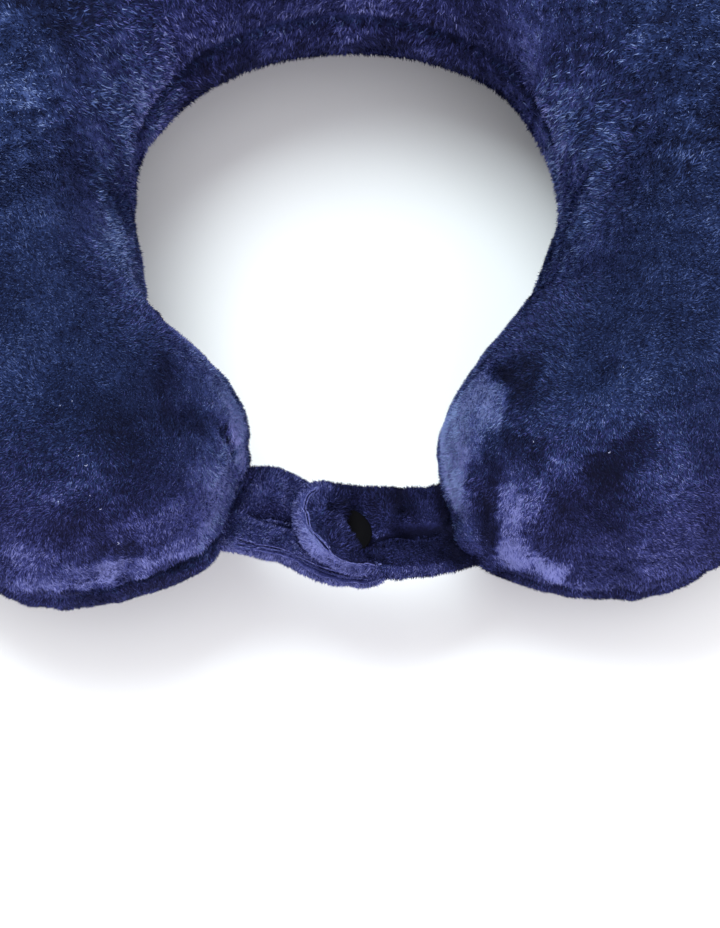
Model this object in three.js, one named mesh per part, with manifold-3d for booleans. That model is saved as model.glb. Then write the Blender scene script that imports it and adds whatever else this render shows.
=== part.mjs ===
// A U-shaped neck pillow in plush, lying flat, its two ends joined across the front by padded
// straps that close with a snap. Millimetres, +Z up. The wearer's neck comes in from -Y.
import * as THREE from 'three';
import { mergeVertices } from 'three/addons/utils/BufferGeometryUtils.js';
import Module from 'manifold-3d';

const wasm = await Module();
wasm.setup();

// Driving sizes, in mm
const PIECE_GAP = 0.3; // between pieces that touch
const FLOOR_PRESS = 4; // how far the floor presses the round underside flat
const END_LENGTH = 64; // over which each arm of the pillow rounds off at its end
const HEADING_SPAN = 14; // a rib faces along the middle line's chord over this far each way
const END_POWER = 0.88; // below 1, the arm's end is blunter than an ellipse
const SEAM_PINCH = { depth: 3, reach: 0.13 }; // how far the seam draws in, over what sine of the turn
const DEEPEST_DENT = 0.5; // of the half width, so that a dent never crosses the middle line

// The pillow's cross-section over and under the seam: powers of the cosine and the sine of the turn,
// where 1 is an ellipse and less is squarer.
const TOP_SECTION = { across: 0.92, rise: 0.92 };
const UNDER_SECTION = { across: 1.22, rise: 1.05 };

// The pillow's middle line in plan, from the tip of the left arm round the back to the tip of the
// right one, with its half width, its seam's height over the floor and its rise above the seam.
const RIBS = [
  { x: -34.5, y: 0.5, half: 49, seam: 39.5, crown: 59 },
  { x: -53.5, y: 12.5, half: 46.5, seam: 38.5, crown: 58.5 },
  { x: -82, y: 24.5, half: 47.5, seam: 37.5, crown: 59 },
  { x: -99, y: 48, half: 46, seam: 39.5, crown: 58 },
  { x: -105.5, y: 75, half: 46.5, seam: 42.5, crown: 56.5 },
  { x: -109, y: 104, half: 46, seam: 45, crown: 54 },
  { x: -102, y: 146, half: 45, seam: 47, crown: 52 },
  { x: -78, y: 184, half: 44, seam: 47, crown: 51 },
  { x: -42, y: 207, half: 44, seam: 47, crown: 50 },
  { x: 0, y: 215, half: 44, seam: 47, crown: 49 },
  { x: 42, y: 207, half: 44, seam: 47, crown: 50 },
  { x: 78, y: 184, half: 44, seam: 47, crown: 51 },
  { x: 102, y: 146, half: 45, seam: 46, crown: 53 },
  { x: 109, y: 104, half: 46, seam: 43, crown: 57 },
  { x: 105, y: 75, half: 46.5, seam: 38, crown: 60 },
  { x: 96.5, y: 48, half: 46.5, seam: 33.5, crown: 61.5 },
  { x: 80.5, y: 29.5, half: 46.5, seam: 30.5, crown: 62.5 },
  { x: 54, y: 12, half: 44.5, seam: 29.5, crown: 63 },
  { x: 38, y: -4, half: 42, seam: 30, crown: 63.5 },
];

// Soft troughs in the pillow's top panel, each along a line near its skin.
const CREASES = [
  { from: [-29, 14, 55], to: [-43, 18, 80], width: 5, depth: 3.2 },
  { from: [-43, 18, 80], to: [-62, 22, 92], width: 10, depth: 1.4 },
  { from: [40, -6, 46], to: [41, 16, 72], width: 6, depth: 2.4 },
  { from: [44, 20, 76], to: [66, 30, 90], width: 9, depth: 1.6 },
  { from: [76, -2, 79], to: [68, -12, 62], width: 11, depth: 1.6 },
];

// Where a strap draws the seam out at the corner of its root: the place, the pull and its reach.
const PULLS = [
  { at: [-40, -9, 39], by: [3, -1.5, 0], reach: 10 },
  { at: [42, -9, 34], by: [-7, 1, 1], reach: 14 },
];

// Each strap's middle line from inside the pillow's seam to its free tip, as [x, y, z]. Its crease
// ends and its snap sits at a distance along it. Past the snap the free end leans over by `slant`,
// puffs up by `puff` and curls up by `curl` along its front edge.
const BEYOND = 1000; // a distance past any strap's end
const LEFT_STRAP = {
  line: [[-42, 9, 39], [-32, 6.6, 38.5], [-18, 4.1, 36.5], [-3, -0.5, 33.5], [7, -2, 32], [15, -2.6, 31.5]],
  creaseEnd: 50,
  snapAt: BEYOND,
  slant: 0,
  puff: 0,
  curl: 0,
};
const RIGHT_STRAP = {
  line: [[43, 6, 30], [32.5, 4, 32], [16.5, 0.2, 36], [1, -1.2, 39.5], [-8, -0.6, 42], [-15, 0.6, 43.5]],
  creaseEnd: 40,
  snapAt: 44.5,
  slant: 0.45,
  puff: 2.6,
  curl: 3,
};
const STRAP_HALF_WIDTH = 15.5;
const STRAP_HALF_THICKNESS = 4.8;
// Inside the seam it is narrower and flat; it widens from `widensAt` and fills out from `fillsAt`
// until it is full at `reach`. Its own end is `tuck` long.
const STRAP_ROOT = { halfWidth: 13.5, halfThickness: 2, tuck: 3, widensAt: 4, fillsAt: 8, reach: 22 };
const STRAP_TIP_LENGTH = 13; // over which its free end rounds off
const STRAP_SECTION = { across: 0.75, rise: 0.75 }; // powers, as for the pillow
const STRAP_END_POWER = 0.8;
const STRAP_CREASE = { depth: 2.6, width: 2.4, startsAt: 12, fullAt: 24, fade: 5 };
const STRAP_SEAM_PINCH = { depth: 1.4, reach: 0.35 };
const SNAP_SIDE = 1.5; // from the strap's middle line towards its front edge
const PUFF_RISE = { before: 3, after: 5 }; // the puff rises over this stretch at the snap
const SLANT_RISE = 20; // the slant grows over this stretch, up to the snap
const SLANT_SHARES = { oneWay: 0.65, bothWays: 0.35 }; // of the slant, by side and by distance to it
const CURL_FULL = 5; // the curl is full this far short of the tip
// The hollow that the snap draws in the strap: its middle, short of the snap's by `offset`, its
// half length and half width, the strap's height inside it, and how far its slopes reach out.
const SNAP_WELL = { offset: 4, halfLength: 3, halfWidth: 6.8, floor: 1, tipLip: 1.8, rootLip: 3 };

const SNAP_CAP = { radius: 7, thickness: 2, edge: 0.6, dish: 0.5, sides: 32 };

const steps = { pillowAlong: 88, pillowAround: 44, strapAlong: 38, strapAround: 28 };
const rings = { pillowEnd: 12, strapTip: 8, strapRoot: 3 }; // of those steps, in the rounded ends
const crowding = { pillow: 0.22, strap: 0.15 }; // how much the steps around crowd towards the seam

// Smooth step from 0 at `from` to 1 at `to`, either way round.
function ease(value, from, to) {
  const t = THREE.MathUtils.clamp((value - from) / (to - from), 0, 1);
  return t * t * (3 - 2 * t);
}

// A power that keeps the sign, which makes a circle squarer below 1.
function signedPower(value, power) {
  return Math.sign(value) * Math.abs(value) ** power;
}

// The width and the place of a rounded end, `share` running from 0 at its tip to 1 where it is full.
function roundedEnd(share, power) {
  const angle = (share * Math.PI) / 2;
  return { width: Math.sin(angle) ** power, back: 1 - Math.cos(angle) ** power };
}

// A sphere with its points moved to where `place` says. `along` runs from 0 at one pole to 1 at
// the other, and `turn` is the angle around.
function drawnOutSphere(stepsAlong, stepsAround, place) {
  const sphere = new THREE.SphereGeometry(1, stepsAround, stepsAlong);
  sphere.deleteAttribute('normal');
  sphere.deleteAttribute('uv');
  const geometry = mergeVertices(sphere);
  const position = geometry.getAttribute('position');
  const point = new THREE.Vector3();
  for (let i = 0; i < position.count; i += 1) {
    point.fromBufferAttribute(position, i);
    const along = Math.acos(THREE.MathUtils.clamp(point.y, -1, 1)) / Math.PI;
    const turn = Math.atan2(point.z, point.x);
    position.setXYZ(i, ...place(along, turn).toArray());
  }
  return geometry;
}

// An even turn moved so that the steps crowd towards the seam, at 0 and at half a turn.
function crowded(evenTurn, amount) {
  return evenTurn - amount * Math.sin(2 * evenTurn);
}

// A curve through the named columns of a table, as a function of t from 0 to 1.
function columns(table, x, y, z) {
  const points = table.map((row) => new THREE.Vector3(row[x], row[y], row[z]));
  return new THREE.CatmullRomCurve3(points, false, 'catmullrom', 0.5);
}

const middle = columns(RIBS.map((rib) => ({ ...rib, z: 0 })), 'x', 'y', 'z');
const sizes = columns(RIBS, 'half', 'seam', 'crown');
middle.arcLengthDivisions = 400;
const middleLength = middle.getLength();

// Where a point of the pillow lies along the middle line, and how full the pillow is there.
function pillowStation(along) {
  const endShare = rings.pillowEnd / steps.pillowAlong;
  const nearest = Math.min(along, 1 - along);
  const end = roundedEnd(Math.min(1, nearest / endShare), END_POWER);
  const straight = Math.max(0, (nearest - endShare) / (0.5 - endShare));
  const arc = END_LENGTH * end.back + (middleLength / 2 - END_LENGTH) * straight;
  return { arc: along < 0.5 ? arc : middleLength - arc, fullness: end.width };
}

function creaseDepth(point) {
  const nearest = new THREE.Vector3();
  let total = 0;
  for (const { from, to, width, depth } of CREASES) {
    const line = new THREE.Line3(new THREE.Vector3(...from), new THREE.Vector3(...to));
    line.closestPointToPoint(point, true, nearest);
    total += depth * Math.exp(-((nearest.distanceTo(point) / width) ** 2));
  }
  return total;
}

// A point on the pillow's skin. The top is fuller than the underside, and the points crowd
// towards the seam.
function pillowPoint(along, evenTurn) {
  const { arc, fullness } = pillowStation(along);
  const t = middle.getUtoTmapping(arc / middleLength);
  const centre = middle.getPoint(t);
  const heading = middle
    .getPointAt(Math.min(1, (arc + HEADING_SPAN) / middleLength))
    .sub(middle.getPointAt(Math.max(0, (arc - HEADING_SPAN) / middleLength)))
    .normalize();
  const outward = new THREE.Vector3(-heading.y, heading.x, 0);
  const { x: half, y: seam, z: crown } = sizes.getPoint(t);
  const turn = crowded(evenTurn, crowding.pillow);
  const onTop = turn > 0;
  const section = onTop ? TOP_SECTION : UNDER_SECTION;
  const height = onTop ? crown : seam + FLOOR_PRESS;
  const across = half * fullness * signedPower(Math.cos(turn), section.across);
  const rise = height * fullness * signedPower(Math.sin(turn), section.rise);
  const point = centre.addScaledVector(outward, across).setZ(seam + rise);
  const pinch = SEAM_PINCH.depth * Math.exp(-((Math.sin(turn) / SEAM_PINCH.reach) ** 2));
  const dent = Math.min(creaseDepth(point) + pinch, DEEPEST_DENT * half * fullness);
  point.addScaledVector(outward, -dent * Math.cos(turn));
  point.z -= dent * Math.sin(turn);
  const place = point.clone();
  for (const { at, by, reach } of PULLS) {
    const near = Math.exp(-((place.distanceTo(new THREE.Vector3(...at)) / reach) ** 2));
    point.addScaledVector(new THREE.Vector3(...by), near);
  }
  return point.setZ(Math.max(0, point.z));
}

// How far a strap's top or bottom stands off its middle, `reach` mm along it and `side` mm across.
function strapStandOff(strap, reach, side, onTop) {
  const { creaseEnd, snapAt, puff } = strap;
  const { depth, width, startsAt, fullAt, fade } = STRAP_CREASE;
  const filled = ease(reach, STRAP_ROOT.fillsAt, STRAP_ROOT.reach);
  const full = THREE.MathUtils.lerp(STRAP_ROOT.halfThickness, STRAP_HALF_THICKNESS, filled);
  const creased = ease(reach, startsAt, fullAt) * ease(reach, creaseEnd + fade, creaseEnd - fade);
  const crease = depth * Math.exp(-((side / width) ** 2)) * creased;
  if (!onTop) return full - crease;
  const fromWell = reach - (snapAt - SNAP_WELL.offset);
  const away = Math.hypot(fromWell / SNAP_WELL.halfLength, (side - SNAP_SIDE) / SNAP_WELL.halfWidth);
  const lip = fromWell > 0 ? SNAP_WELL.tipLip : SNAP_WELL.rootLip;
  const puffing = ease(reach, snapAt - PUFF_RISE.before, snapAt + PUFF_RISE.after);
  const puffed = full - crease + puff * puffing;
  return THREE.MathUtils.lerp(SNAP_WELL.floor, puffed, ease(away, 1, lip));
}

function strapPoint(strap, curve, length, along, evenTurn) {
  const tipShare = rings.strapTip / steps.strapAlong;
  const rootShare = rings.strapRoot / steps.strapAlong;
  const { tuck } = STRAP_ROOT;
  let fullness = 1;
  let reach;
  if (along > 1 - tipShare) {
    const tip = roundedEnd((1 - along) / tipShare, STRAP_END_POWER);
    fullness = tip.width;
    reach = length - STRAP_TIP_LENGTH * tip.back;
  } else if (along < rootShare) {
    const root = roundedEnd(along / rootShare, STRAP_END_POWER);
    fullness = root.width;
    reach = tuck * root.back;
  } else {
    const share = (along - rootShare) / (1 - tipShare - rootShare);
    reach = tuck + share * (length - STRAP_TIP_LENGTH - tuck);
  }
  const t = curve.getUtoTmapping(reach / length);
  const centre = curve.getPoint(t);
  const heading = curve.getTangent(t).setZ(0).normalize();
  const sideways = new THREE.Vector3(-heading.y, heading.x, 0);
  const turn = crowded(evenTurn, crowding.strap);
  const onTop = Math.sin(turn) > 0;
  const pinch = STRAP_SEAM_PINCH.depth * Math.exp(-((Math.sin(turn) / STRAP_SEAM_PINCH.reach) ** 2));
  const widened = ease(reach, STRAP_ROOT.widensAt, STRAP_ROOT.reach);
  const halfWidth = THREE.MathUtils.lerp(STRAP_ROOT.halfWidth, STRAP_HALF_WIDTH - pinch, widened);
  const side = halfWidth * fullness * signedPower(Math.cos(turn), STRAP_SECTION.across);
  const rise = fullness * signedPower(Math.sin(turn), STRAP_SECTION.rise);
  const lean = strap.slant * (SLANT_SHARES.oneWay * side + SLANT_SHARES.bothWays * Math.abs(side));
  const leaning = ease(reach, strap.snapAt - SLANT_RISE, strap.snapAt);
  const curling = ease(side, 0, STRAP_HALF_WIDTH) * ease(reach, strap.snapAt, length - CURL_FULL);
  const lift = strapStandOff(strap, reach, side, onTop) * rise + strap.curl * curling;
  const point = centre.addScaledVector(sideways, side).addScaledVector(heading, -lean * leaning);
  return point.setZ(centre.z + lift);
}

function strapCurve(strap) {
  const points = strap.line.map((place) => new THREE.Vector3(...place));
  return new THREE.CatmullRomCurve3(points, false, 'catmullrom', 0.5);
}

function strapShape(strap) {
  const curve = strapCurve(strap);
  const length = curve.getLength();
  return drawnOutSphere(steps.strapAlong, steps.strapAround, (along, turn) =>
    strapPoint(strap, curve, length, along, turn),
  );
}

// The snap's round cap: a low disc with a rounded edge and a shallow dish in its top.
function snapCapShape() {
  const { radius, thickness, edge, dish, sides } = SNAP_CAP;
  const profile = [
    [0, 0],
    [radius - edge, 0],
    [radius, edge],
    [radius, thickness - edge],
    [radius - edge, thickness],
    [0.55 * radius, thickness],
    [0.35 * radius, thickness - dish],
    [0, thickness - dish],
  ].map(([x, y]) => new THREE.Vector2(x, y));
  return new THREE.LatheGeometry(profile, sides).rotateX(Math.PI / 2);
}

// Where the cap sits: on the floor of the strap's well, square to the strap.
function snapSeat(strap) {
  const curve = strapCurve(strap);
  const share = strap.snapAt / curve.getLength();
  const heading = curve.getTangentAt(share);
  const sideways = new THREE.Vector3(-heading.y, heading.x, 0).normalize();
  const up = new THREE.Vector3().crossVectors(heading, sideways);
  const seat = new THREE.Matrix4().makeBasis(heading, sideways, up);
  const place = curve.getPointAt(share).addScaledVector(sideways, SNAP_SIDE);
  return seat.setPosition(place.addScaledVector(up, SNAP_WELL.floor + PIECE_GAP));
}

// The solid inside a geometry, with its skin moved out by `grow` mm.
function toSolid(geometry, grow) {
  const bare = geometry.clone();
  bare.deleteAttribute('normal');
  bare.deleteAttribute('uv');
  const merged = mergeVertices(bare);
  merged.computeVertexNormals();
  const { position, normal } = merged.attributes;
  const point = new THREE.Vector3();
  for (let i = 0; i < position.count; i += 1) {
    point.fromBufferAttribute(normal, i).multiplyScalar(grow);
    position.setXYZ(i, ...point.add(new THREE.Vector3().fromBufferAttribute(position, i)).toArray());
  }
  const triVerts = new Uint32Array(merged.index.array);
  return new wasm.Manifold(
    new wasm.Mesh({ numProp: 3, vertProperties: position.array, triVerts }),
  );
}

function toGeometry(solid) {
  const mesh = solid.getMesh();
  const geometry = new THREE.BufferGeometry();
  geometry.setAttribute('position', new THREE.BufferAttribute(mesh.vertProperties, 3));
  geometry.setIndex(new THREE.BufferAttribute(mesh.triVerts, 1));
  return geometry;
}

const plush = new THREE.MeshStandardMaterial({ color: 0x242850, roughness: 1, metalness: 0 });
const blackPlastic = new THREE.MeshStandardMaterial({ color: 0x17181c, roughness: 0.55, metalness: 0 });

function named(name, solid, material) {
  const mesh = new THREE.Mesh(toGeometry(solid), material);
  mesh.name = name;
  return mesh;
}

const pillow = drawnOutSphere(steps.pillowAlong, steps.pillowAround, pillowPoint);
const leftStrap = strapShape(LEFT_STRAP);
const rightStrap = strapShape(RIGHT_STRAP);
const snapCap = snapCapShape().applyMatrix4(snapSeat(RIGHT_STRAP));

const pillowSpace = toSolid(pillow, PIECE_GAP);
const leftStrapSolid = toSolid(leftStrap, 0).subtract(pillowSpace);
const rightStrapSolid = toSolid(rightStrap, 0)
  .subtract(pillowSpace)
  .subtract(toSolid(leftStrap, PIECE_GAP))
  .subtract(toSolid(snapCap, PIECE_GAP));

const neckPillow = new THREE.Group();
neckPillow.add(
  named('pillow_body', toSolid(pillow, 0), plush),
  named('strap_left', leftStrapSolid, plush),
  named('strap_right', rightStrapSolid, plush),
  named('snap_cap', toSolid(snapCap, 0), blackPlastic),
);

// The origin is on the floor, under the middle of the whole outline.
const outline = new THREE.Box3().setFromObject(neckPillow);
const centre = outline.getCenter(new THREE.Vector3());
neckPillow.position.set(-centre.x, -centre.y, -outline.min.z);

export default neckPillow;
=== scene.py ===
"""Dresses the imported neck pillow: the plush cushion and straps with their pile, and the black snap.

The cushion and the straps follow the same ribs and lines as the solids, at a finer step, with the
sewn seams, puckers and creases added. Lengths in the tables are millimetres, in the part's own
drawing frame; everything is moved into the row frame, in metres, when its mesh is made.
"""

import math

import bpy
import numpy as np
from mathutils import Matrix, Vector
from mathutils.bvhtree import BVHTree


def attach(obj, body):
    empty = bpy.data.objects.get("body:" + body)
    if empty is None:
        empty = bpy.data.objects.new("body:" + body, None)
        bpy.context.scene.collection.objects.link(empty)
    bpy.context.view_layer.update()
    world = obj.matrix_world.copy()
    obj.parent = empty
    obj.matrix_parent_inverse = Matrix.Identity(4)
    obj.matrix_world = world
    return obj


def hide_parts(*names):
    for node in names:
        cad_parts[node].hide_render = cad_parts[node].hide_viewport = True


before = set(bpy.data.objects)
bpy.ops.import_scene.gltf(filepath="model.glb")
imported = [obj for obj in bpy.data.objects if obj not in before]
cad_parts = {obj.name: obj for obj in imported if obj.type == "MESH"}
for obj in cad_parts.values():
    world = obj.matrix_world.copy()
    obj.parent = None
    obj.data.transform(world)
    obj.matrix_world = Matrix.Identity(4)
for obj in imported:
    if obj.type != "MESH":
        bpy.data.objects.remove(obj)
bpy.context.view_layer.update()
MM = 0.001

# The camera looks along +Y and down at the pillow's front
CAMERA_TARGET_MM = (4.35, -96.5, 38)
CAMERA_ELEVATION = 62
CAMERA_DISTANCE_MM = 900
CAMERA_LENS = 120
CAMERA_SENSOR = 36
CAMERA_NEAR = 0.01

# The cushion, as in the solids
FLOOR_PRESS = 4
END_LENGTH = 64
END_SHARE = 12 / 88
END_POWER = 0.88
HEADING_SPAN = 14
TURN_EVENING = 0.22
ACROSS_POWERS = (0.92, 1.22)  # how square the section is, over the seam and under it
RISE_POWERS = (0.92, 1.05)
DEEPEST_DENT = 0.5
SEAM_PINCH = {"depth": 3, "reach": 0.13}
RIBS = [  # x, y, half width, seam height, crown over the seam
    (-34.5, 0.5, 49, 39.5, 59), (-53.5, 12.5, 46.5, 38.5, 58.5), (-82, 24.5, 47.5, 37.5, 59),
    (-99, 48, 46, 39.5, 58), (-105.5, 75, 46.5, 42.5, 56.5), (-109, 104, 46, 45, 54),
    (-102, 146, 45, 47, 52), (-78, 184, 44, 47, 51), (-42, 207, 44, 47, 50),
    (0, 215, 44, 47, 49), (42, 207, 44, 47, 50), (78, 184, 44, 47, 51),
    (102, 146, 45, 46, 53), (109, 104, 46, 43, 57), (105, 75, 46.5, 38, 60),
    (96.5, 48, 46.5, 33.5, 61.5), (80.5, 29.5, 46.5, 30.5, 62.5), (54, 12, 44.5, 29.5, 63),
    (38, -4, 42, 30, 63.5),
]
CREASES = [  # from, to, width, depth
    (-29, 14, 55, -43, 18, 80, 5, 3.2), (-43, 18, 80, -62, 22, 92, 10, 1.4),
    (40, -6, 46, 41, 16, 72, 6, 2.4), (44, 20, 76, 66, 30, 90, 9, 1.6),
    (76, -2, 79, 68, -12, 62, 11, 1.6),
]
PULLS = [  # at, by, reach
    ((-40, -9, 39), (3, -1.5, 0), 10),
    ((42, -9, 34), (-7, 1, 1), 14),
]

CURVE_STEPS = 1601
WAVES = {"count": 14, "lengths": (0.7, 1.5)}
TINY = 1e-9


def ease(value, start, end):
    """Smooth step from 0 at start to 1 at end, either way round."""
    t = np.clip((value - start) / (end - start), 0, 1)
    return t * t * (3 - 2 * t)


def between(start, end, share):
    return start + (end - start) * share


def span_of(vectors):
    return np.linalg.norm(vectors, axis=-1)


def bell(away, reach):
    """1 at no distance, falling smoothly to about a third at reach and to nothing beyond it."""
    return np.exp(-((away / reach) ** 2))


def signed_power(value, power):
    return np.sign(value) * np.abs(value) ** power


def rounded_end(share, power):
    """Width and place of a rounded end, share running from 0 at its tip to 1 where it is full."""
    angle = np.clip(share, 0, 1) * math.pi / 2
    return np.sin(angle) ** power, 1 - np.maximum(np.cos(angle), 0) ** power


class Curve:
    """A smooth curve through rows of numbers, found by t from 0 to 1 or by length in x, y and z."""

    def __init__(self, rows):
        rows = np.array(rows, float)
        self.last = len(rows) - 1
        self.rows = np.vstack([2 * rows[0] - rows[1], rows, 2 * rows[-1] - rows[-2]])
        self.t = np.linspace(0, 1, CURVE_STEPS)
        steps = np.diff(self.at(self.t)[:, :3], axis=0)
        self.lengths = np.append(0, np.cumsum(span_of(steps)))
        self.length = self.lengths[-1]

    def at(self, t):
        place = np.clip(t, 0, 1) * self.last
        knot = np.minimum(place.astype(int), self.last - 1)
        u = (place - knot)[..., None]
        a, b, c, d = (self.rows[knot + i] for i in range(4))
        start, end = (c - a) / 2, (d - b) / 2
        cubic = 2 * b - 2 * c + start + end
        square = 3 * c - 3 * b - 2 * start - end
        return ((cubic * u + square) * u + start) * u + b

    def t_at(self, arc):
        return np.interp(arc, self.lengths, self.t)

    def along(self, arc, span):
        """The direction of the chord that reaches span either way."""
        ahead = self.at(self.t_at(arc + span))[..., :3]
        chord = ahead - self.at(self.t_at(arc - span))[..., :3]
        return chord / span_of(chord)[..., None]


MIDDLE = Curve([(x, y, 0) for x, y, *_ in RIBS])
SIZES = Curve([rib[2:] for rib in RIBS])


def line_distance(points, line):
    """How far points lie from a line, given by its two ends as six numbers."""
    start, end = np.array(line, float).reshape(2, 3)
    run = end - start
    share = np.clip((points - start) @ run / (run @ run), 0, 1)
    return span_of(points - start - share[..., None] * run)


def crease_depth(points, creases):
    return sum(depth * bell(line_distance(points, line), width) for *line, width, depth in creases)


def pull(points, place, at, by, reach):
    """Moves points by up to by, most of all where place is near at."""
    points += bell(span_of(place - at), reach)[..., None] * by


def leftward(heading):
    return np.stack([-heading[..., 1], heading[..., 0], 0 * heading[..., 0]], -1)


def cushion_points(along, even_turn, slip=lambda arc: 0):
    """Points of the cushion's skin, as in the solids: along its length and round its seam.

    slip gives how far the sewn seam has slipped up the side, as the sine of the turn."""
    nearest = np.minimum(along, 1 - along)
    fullness, back = rounded_end(nearest / END_SHARE, END_POWER)
    straight = np.maximum(0, (nearest - END_SHARE) / (0.5 - END_SHARE))
    arc = END_LENGTH * back + (MIDDLE.length / 2 - END_LENGTH) * straight
    arc = np.where(along < 0.5, arc, MIDDLE.length - arc)
    t = MIDDLE.t_at(arc)
    centre = MIDDLE.at(t)
    heading = MIDDLE.along(arc, HEADING_SPAN)
    outward = leftward(heading)
    half, seam, crown = np.moveaxis(SIZES.at(t), -1, 0)
    turn = even_turn - TURN_EVENING * np.sin(2 * even_turn)
    on_top = turn > 0
    across = half * fullness * signed_power(np.cos(turn), np.where(on_top, *ACROSS_POWERS))
    height = np.where(on_top, crown, seam + FLOOR_PRESS)
    rise = height * fullness * signed_power(np.sin(turn), np.where(on_top, *RISE_POWERS))
    points = centre + outward * across[..., None]
    points[..., 2] = seam + rise
    over_seam = np.sin(turn) - slip(arc)
    pinch = SEAM_PINCH["depth"] * bell(over_seam, SEAM_PINCH["reach"])
    dent = np.minimum(crease_depth(points, CREASES) + pinch, DEEPEST_DENT * half * fullness)
    points -= outward * (dent * np.cos(turn))[..., None]
    points[..., 2] -= dent * np.sin(turn)
    place = points.copy()
    for row in PULLS:
        pull(points, place, *row)
    points[..., 2] = np.maximum(points[..., 2], 0)
    return points, arc, turn, over_seam


def waves(points, size, seed):
    """Smooth noise of about unit height: plane waves in many directions, size mm long."""
    rng = np.random.default_rng(seed)
    total = np.zeros(points.shape[:-1])
    for _ in range(WAVES["count"]):
        direction = rng.normal(size=3)
        direction *= 2 * math.pi / (size * rng.uniform(*WAVES["lengths"]) * np.linalg.norm(direction))
        total += np.sin(points @ direction + rng.uniform(0, 2 * math.pi))
    return total / math.sqrt(WAVES["count"] / 2)


def layered_waves(points, layers):
    """Noise in layers, each given by its size in mm, its height and its seed."""
    return sum(height * waves(points, size, seed) for size, height, seed in layers)


def even_steps(rows, columns):
    """Where the points of a skin's grid lie: along it, from 0 to 1, and round it."""
    along = np.linspace(0, 1, rows + 2)[1:-1, None] + np.zeros(columns)
    return along, np.linspace(-math.pi, math.pi, columns, endpoint=False) + np.zeros_like(along)


def skin_normals(points, inside):
    """Outward unit normals of a closed grid of points: rows along, columns around."""
    along = np.gradient(points, axis=0)
    around = np.roll(points, -1, axis=1) - np.roll(points, 1, axis=1)
    normal = np.cross(around, along)
    normal /= span_of(normal)[..., None] + TINY
    facing = np.sign(np.sum(normal * (points - inside), axis=-1).mean())
    return normal * facing


# What the solids leave to the cloth: seams, puckers beside them and the unevenness of the filling
PILE_DEPTH = 0.7
SEAM_GROOVE = {"depth": 1.6, "reach": 0.035}
CORNER_PULLS = [  # at, by, reach
    ((-31, 4, 50), (-2, 0, 0), 13),
    ((-27, 12, 54), (-2, 0, 0), 7),
]
PUCKER = {"top": 1.2, "under": 0.9, "near": 0.05, "far": 0.45, "lengths": (9, 14, 27)}
RIDGE_SHIFT = 2.1
RIDGE_SWAY = {"by": 1.3, "length": 37}
FULLER = {"behind": 0.45, "span": (150, 60)}  # the puckers, by distance from the nearer end
LUMPS = {"size": 70, "height": 1.1, "seed": 3, "off_seam": 0.3}
INSIDE_HEIGHT = 45
OFF_FLOOR = (1, 9)
TIP_SHARE = 0.02
# How much of the fine creases' depth counts against the puckers' rise, as painted shade
CREASE_PAINTED_SHADE = 0.5
SEAM_SLIP = {
    "left_end": (0.19, 6, 0), "front": ((0.07, 3, 12), (0.065, 18, 36)), "right": 0.14, "side": (170, 110),
}
FINE_CREASES = [  # from, to, width, depth
    (-31, 16, 53, -34.5, 17, 64, 1.2, 3), (-34.5, 17, 64, -41, 20, 75, 2.5, 0.4),
    (-32, 13.5, 54, -36, 14, 67, 2, -0.9), (-70, -20, 54, -66, -14, 64, 3.5, 1),
    (-60, -16, 55, -58, -11, 64, 3, 1), (-78, -21, 57, -77, -18, 67, 3, 1.3),
    (57, -13, 42, 60, -10, 52, 3.5, 1.3), (66, -14, 40, 70, -12, 50, 3, 1.2),
    (76, -15, 39, 77, -13, 52, 3, 1.3), (71, 21, 90, 74, 25, 91, 2.5, 1.8),
]


def seam_slip(arc):
    """How far the seam has slipped: up beside the left strap, a little down along the front."""
    side = SEAM_SLIP["side"]
    up, start, end = SEAM_SLIP["left_end"]
    down = sum(by * ease(arc, *span) for by, *span in SEAM_SLIP["front"])
    left = up * ease(arc, start, end) - down * ease(arc, *side)
    return left - SEAM_SLIP["right"] * ease(MIDDLE.length - arc, *side)


def cushion_grid(rows, columns):
    """The cushion's skin with its sewn detail: points, normals, how far along and over the seam each
    lies, and how far it stands out on a pucker, less half the fine creases' depth, which sets the
    painted highlight and shade."""
    along, even_turn = even_steps(rows, columns)
    points, arc, turn, over_seam = cushion_points(along, even_turn, seam_slip)
    for row in CORNER_PULLS:
        pull(points, points, *row)
    inside = MIDDLE.at(MIDDLE.t_at(arc))
    inside[..., 2] = INSIDE_HEIGHT
    normals = skin_normals(points, inside)
    seam_length = np.cumsum(span_of(np.diff(points, axis=0, prepend=points[:1])), axis=0)
    outer, inner = seam_length[:, columns // 2], seam_length[:, 0]
    place = np.where(np.cos(turn) > 0, outer[:, None], -inner[:, None])
    sway = RIDGE_SWAY["by"] * np.sin(place / RIDGE_SWAY["length"])
    ridges = sum(
        np.sin(2 * math.pi * place / length + RIDGE_SHIFT * k + sway)
        for k, length in enumerate(PUCKER["lengths"])
    )
    ridges = ridges / len(PUCKER["lengths"])
    rise = np.abs(over_seam)
    near_seam = bell(rise, PUCKER["far"]) * (1 - bell(rise, PUCKER["near"]))
    from_end = np.minimum(arc, MIDDLE.length - arc)
    fuller = between(FULLER["behind"], 1, ease(from_end, *FULLER["span"]))
    pucker = np.where(over_seam > 0, PUCKER["top"], PUCKER["under"]) * ridges * near_seam * fuller
    lumps = LUMPS["height"] * waves(points, LUMPS["size"], LUMPS["seed"])
    lumps *= 1 - bell(rise, LUMPS["off_seam"])
    groove = SEAM_GROOVE["depth"] * bell(over_seam, SEAM_GROOVE["reach"])
    creased = crease_depth(points, FINE_CREASES)
    off_floor = ease(points[..., 2], *OFF_FLOOR)
    off_tip = ease(np.minimum(along, 1 - along), 0, TIP_SHARE)
    offset = (pucker + lumps - PILE_DEPTH) * off_floor * off_tip - creased - groove * off_tip
    points = points + normals * offset[..., None]
    points[..., 2] = np.maximum(points[..., 2], 0)
    return points, skin_normals(points, inside), arc, over_seam, pucker - CREASE_PAINTED_SHADE * creased
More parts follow.
